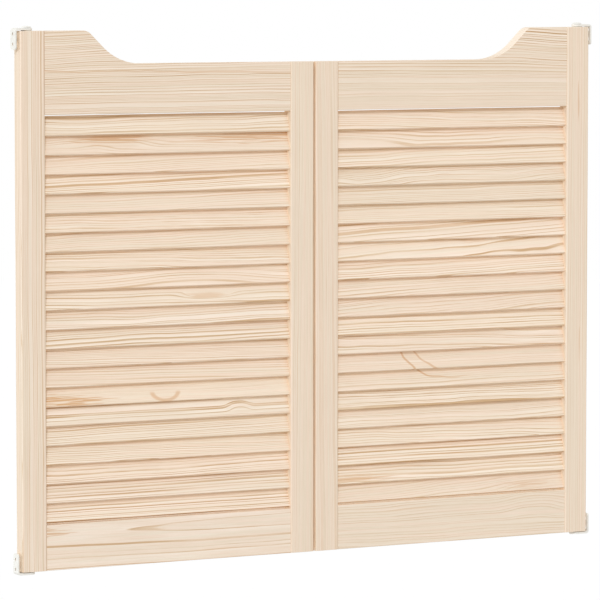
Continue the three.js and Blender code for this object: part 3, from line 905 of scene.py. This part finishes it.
def build_slats(side):
    rng = random.Random(LEAF_SEEDS[side])
    tilted = (0, math.sin(SLAT_TILT), math.cos(SLAT_TILT))
    for i in range(SLAT_COUNT):
        node_name = f"{side}_slat_{i + 1:02d}"
        mesh = slat_mesh(f"wood_{node_name}", i, rng)
        centre = (bay_middle, 0, slat_height(i))
        board = Board(SLAT_SEEDS[side] + SLAT_SEED_STEP * i, centre, (1, 0, 0), tilted)
        if board.random.random() < QUARTER_SAWN_SHARE:
            board.pith = (board.either_side(QUARTER_SAWN_PITH[0]), board.within(QUARTER_SAWN_PITH[1]))
        else:
            board.pith = (board.either_side(RIFT_SAWN_PITH[0]), board.either_side(RIFT_SAWN_PITH[1]))
        board.draw(SLAT_LOG)
        # A painted highlight on the slats' arrises
        board.painted_edge_highlight = SLAT_PAINTED_HIGHLIGHT
        # Slats take painted shade under their laps in the gaps, other boards a painted bounce light
        board.lapped = 1.0
        add_board(node_name, mesh, board, side)


# Pivots and brackets

def cartridge_mesh(name):
    """Spring cartridge in the foot of the stile: a flanged sleeve with a blind bore for the lower pin."""
    foot = -FLANGE_PROUD
    shoulder, head = foot + FLANGE_THICKNESS, foot + CARTRIDGE_LENGTH
    bm = bmesh.new()
    turned(bm, filleted([
        (0, cartridge_bore), (bore_radius, cartridge_bore), (bore_radius, foot),
        (FLANGE_RADIUS, foot), (FLANGE_RADIUS, shoulder), (SOCKET_RADIUS, shoulder),
        (SOCKET_RADIUS, head), (0, head)], METAL_EASE))
    return to_mesh(name, bm)


def bush_mesh(name):
    """Flanged bush in the head of the stile, open at both ends."""
    head = LEAF_HEIGHT + FLANGE_PROUD
    shoulder, foot = head - FLANGE_THICKNESS, head - BUSH_LENGTH
    seam = (bore_radius, (head + foot) / 2)
    bm = bmesh.new()
    turned(bm, filleted([
        seam, (bore_radius, foot), (SOCKET_RADIUS, foot), (SOCKET_RADIUS, shoulder),
        (FLANGE_RADIUS, shoulder), (FLANGE_RADIUS, head), (bore_radius, head), seam], METAL_EASE))
    return to_mesh(name, bm)


def pin_mesh(name):
    """Upper pin with a low domed head, dropped through the arm into the bush."""
    seat = upper_arm_top + FIT_GAP
    tip, rim, top = seat - UPPER_PIN_LENGTH, seat + PIN_HEAD_RIM, seat + PIN_HEAD_HEIGHT
    dome = (PIN_HEAD_RADIUS ** 2 + (top - rim) ** 2) / (2 * (top - rim))
    lean = math.degrees(math.asin(PIN_HEAD_RADIUS / dome))
    head = arc(0, top - dome, dome, 90 - lean, 90, PIN_HEAD_STEPS)[:-1]
    # The dome starts at the rim, a corner that is rounded with the shank
    shank = filleted([
        (0, tip), (PIN_RADIUS - PIN_CHAMFER, tip), (PIN_RADIUS, tip + PIN_CHAMFER), (PIN_RADIUS, seat),
        (PIN_HEAD_RADIUS, seat), (PIN_HEAD_RADIUS, rim), head[1]], METAL_EASE)
    bm = bmesh.new()
    turned(bm, shank + head[2:] + [(0, top)])
    return to_mesh(name, bm)


def bracket_mesh(name, arm_face, way):
    """A strip bent to an angle, from the arm's outer face and the way that its plate points."""
    half = BRACKET_WIDTH / 2
    bend_start = PLATE_HEIGHT - BEND_RADIUS
    bend_end = bend_start + BEND_RADIUS * math.pi / 2
    bend_length = bend_end - bend_start
    pivot = bend_end + PIVOT_INSET - jamb_face - BEND_RADIUS

    def blank(inset):
        """One long edge of the flat strip, from the plate's end to the tip of the arm."""
        side = half - inset
        corner = arc(PLATE_CORNER, half - PLATE_CORNER, PLATE_CORNER - inset, 180, 90, PLATE_CORNER_STEPS)
        bend = [(bend_start + bend_length * k / BEND_STEPS, side) for k in range(BEND_STEPS + 1)]
        tip = arc(pivot, 0, side, 90, 0, ARM_TIP_STEPS)[:-1]
        return corner + bend + tip + [(pivot + side, 0)]

    def bent(s, y, depth):
        """Where a point of the flat strip goes, its depth measured from the outer face."""
        turn = min(max((s - bend_start) / BEND_RADIUS, 0), math.pi / 2)
        depth *= 1 + (PLATE_THICKNESS / ARM_THICKNESS - 1) * math.cos(turn)
        x = jamb_face + BEND_RADIUS - (BEND_RADIUS - depth) * math.cos(turn) + max(s - bend_end, 0)
        height = BEND_RADIUS - (BEND_RADIUS - depth) * math.sin(turn) + max(bend_start - s, 0)
        return x, y, arm_face + way * height

    layers = []
    for depth, inset in eased_ends(0, ARM_THICKNESS, METAL_EASE):
        edge = blank(inset)
        layers.append([bent(s, y, depth) for s, y in edge + [(s, -y) for s, y in edge[-2::-1]]])
    bm = bmesh.new()
    rings = loft(bm, layers, capped=False)
    for ring in (rings[0], rings[-1]):
        for i in range(len(ring) // 2):
            bm.faces.new(list(dict.fromkeys((ring[i], ring[i + 1], ring[-i - 2], ring[-i - 1]))))
    return to_mesh(name, bm)


def bracket_cutter(arm_face, way):
    """Countersunk screw holes, with the upper pin's hole or the groove round the riveted lower pin."""
    bm = bmesh.new()
    sink = PLATE_THICKNESS - SCREW_SINK
    flare = SCREW_SINK / (SCREW_HEAD_RADIUS - SCREW_RADIUS)
    wide = (SCREW_HEAD_RADIUS + FIT_GAP, PLATE_THICKNESS + FIT_GAP * flare)
    screw = [(0, -CUT_MARGIN), (SCREW_RADIUS, -CUT_MARGIN), (SCREW_RADIUS, sink), wide, (0, wide[1])]
    for height in (SCREW_EDGE, SCREW_EDGE + SCREW_SPACING):
        place = Matrix.Translation((jamb_face, 0, arm_face + way * (PLATE_HEIGHT - height)))
        turned(bm, screw, place @ Matrix.Rotation(math.pi / 2, 4, "Y"))
    if way > 0:
        low, high = arm_face - CUT_MARGIN, arm_face + RIVET_GROOVE
        inner, outer = PIN_RADIUS, PIN_RADIUS + RIVET_GROOVE
        turned(bm, [(inner, low), (outer, low), (outer, high), (inner, high), (inner, low)])
    else:
        hole = PIN_RADIUS + FIT_GAP
        low, high = arm_face - ARM_THICKNESS - CUT_MARGIN, arm_face + CUT_MARGIN
        turned(bm, [(0, low), (hole, low), (hole, high), (0, high)])
    return to_mesh("bracket_cutter", bm)


def lower_pin_mesh(arm_face):
    """Lower pin, from inside the arm that it is riveted to."""
    root = arm_face + ARM_THICKNESS / 2
    tip = arm_face + ARM_THICKNESS + LOWER_PIN_LENGTH
    bm = bmesh.new()
    turned(bm, [
        (0, root), (PIN_RADIUS, root), (PIN_RADIUS, tip - PIN_CHAMFER),
        (PIN_RADIUS - PIN_CHAMFER, tip), (0, tip)])
    return to_mesh("lower_pin", bm)


def build_fittings(side):
    lower = bracket_mesh(f"enamel_{side}_lower_bracket", -leaf_foot, 1)
    lower = cut(lower, bracket_cutter(-leaf_foot, 1))
    lower = cut(lower, lower_pin_mesh(-leaf_foot), "UNION")
    upper = bracket_mesh(f"enamel_{side}_upper_bracket", upper_arm_top, -1)
    upper = cut(upper, bracket_cutter(upper_arm_top, -1))
    for part, mesh, body, slot, material in (
        ("lower_bracket", lower, "jamb_fittings", "enamel", ENAMEL),
        ("upper_bracket", upper, "jamb_fittings", "enamel", ENAMEL),
        ("pivot_pin", pin_mesh("pivot_pin"), "jamb_fittings", "enamel", ENAMEL),
        ("spring_cartridge", cartridge_mesh("spring_cartridge"), f"{side}_leaf", "steel", STEEL),
        ("upper_bush", bush_mesh("upper_bush"), f"{side}_leaf", "nylon", NYLON),
    ):
        place_in_pair(mesh, side)
        show(to_object(f"{slot}_{side}_{part}", mesh), f"{side}_{part}", body, material)


for leaf_side in SIDES:
    build_stiles(leaf_side)
    build_rails(leaf_side)
    build_slats(leaf_side)
for jamb_side in SIDES:
    build_fittings(jamb_side)


# Stage: a white floor below the hanging doors, soft light from the left and above, the photo's camera

FLOOR_Z = -0.65
FLOOR_RADIUS = 14.0
FLOOR_SEGMENTS = 96
FLOOR_GREY = (0.7, 0.7, 0.7, 1.0)
# What the lit floor lacks to be white
FLOOR_GLOW = (0.36, 0.38, 0.42, 1.0)
WHITE = (1.0, 1.0, 1.0, 1.0)
SKY_COLOUR = (1.07, 1.0, 0.89, 1.0)
SKY_LIGHT = 0.675
# Lamps: direction towards the lamp, strength, spread in degrees, colour
LAMPS = {
    "key": ((-0.476, -0.762, 0.46), 1.15, 12, (0.92, 1.0, 1.1)),
    "side": ((-0.975, 0.1, 0.2), 0.72, 40, (0.9, 1.0, 1.08)),
}
# A low panel behind the doors, so that their backs aren't in shade. Its narrow spread spares the floor
PANEL_PLACE = (0.3, 2.2, -0.2)
PANEL_AIM = (0.0, 0.0, 0.4)
PANEL_SIZE = (2.4, 0.8)
PANEL_SPREAD = 60
PANEL_POWER = 3.5
PANEL_COLOUR = (0.94, 1.0, 1.07)
# Camera: how far it looks down and is turned to the right, in degrees
CAMERA_PLACE = (-2.7563, -5.1778, 0.8335)
CAMERA_DOWN = 4.558
CAMERA_TURN = 27.87
CAMERA_LENS = 246.15
CAMERA_SENSOR = 36.0
CAMERA_REACH = 100.0


def seen(tree):
    """1 for rays that show a surface, plainly, in a mirror or through glass, and 0 for other rays."""
    path = node(tree, "LightPath").outputs
    shown = maths(tree, "MAXIMUM", path["Is Camera Ray"], path["Is Glossy Ray"])
    return maths(tree, "MAXIMUM", shown, path["Is Transmission Ray"])


def make_world():
    world = bpy.data.worlds.new("studio")
    bpy.context.scene.world = world
    world.use_nodes = True
    tree = world.node_tree
    tree.nodes.clear()
    light = node(tree, "Background", {0: SKY_COLOUR, 1: SKY_LIGHT}).outputs[0]
    white = node(tree, "Background", {0: WHITE, 1: 1.0}).outputs[0]
    mixed = node(tree, "MixShader", {0: seen(tree), 1: light, 2: white}).outputs[0]
    node(tree, "OutputWorld", {0: mixed})


def make_floor():
    bm = bmesh.new()
    bmesh.ops.create_circle(bm, cap_ends=True, segments=FLOOR_SEGMENTS, radius=FLOOR_RADIUS)
    bmesh.ops.translate(bm, verts=bm.verts, vec=(0, 0, FLOOR_Z))
    floor = to_object("floor", to_mesh("floor", bm))
    material, tree, output = new_material("white_floor")
    diffuse = node(tree, "BsdfDiffuse", {0: FLOOR_GREY}).outputs[0]
    glow = node(tree, "Emission", {0: FLOOR_GLOW, 1: seen(tree)}).outputs[0]
    both = node(tree, "AddShader", {0: diffuse, 1: glow}).outputs[0]
    tree.links.new(both, output.inputs[0])
    floor.data.materials.append(material)


def add_lamp(name, kind, energy, colour, direction):
    data = bpy.data.lights.new(name, kind)
    data.energy = energy
    data.color = colour
    lamp = to_object(name, data)
    lamp.rotation_euler = Vector(direction).to_track_quat("Z", "Y").to_euler()
    return lamp


def make_lamps():
    for name, (direction, strength, spread, colour) in LAMPS.items():
        lamp = add_lamp(name, "SUN", strength, colour, direction)
        lamp.data.angle = math.radians(spread)
    panel = add_lamp("panel", "AREA", PANEL_POWER, PANEL_COLOUR, Vector(PANEL_PLACE) - Vector(PANEL_AIM))
    panel.location = PANEL_PLACE
    panel.data.shape = "RECTANGLE"
    panel.data.size, panel.data.size_y = PANEL_SIZE
    panel.data.spread = math.radians(PANEL_SPREAD)
    panel.visible_camera = False


def make_camera():
    data = bpy.data.cameras.new("camera")
    data.lens = CAMERA_LENS
    data.sensor_width = CAMERA_SENSOR
    data.clip_end = CAMERA_REACH
    camera = to_object("camera", data)
    camera.location = CAMERA_PLACE
    camera.rotation_euler = (math.radians(90 - CAMERA_DOWN), 0, math.radians(-CAMERA_TURN))
    bpy.context.scene.camera = camera


make_world()
make_floor()
make_lamps()
make_camera()
bpy.context.scene.view_settings.view_transform = "Standard"
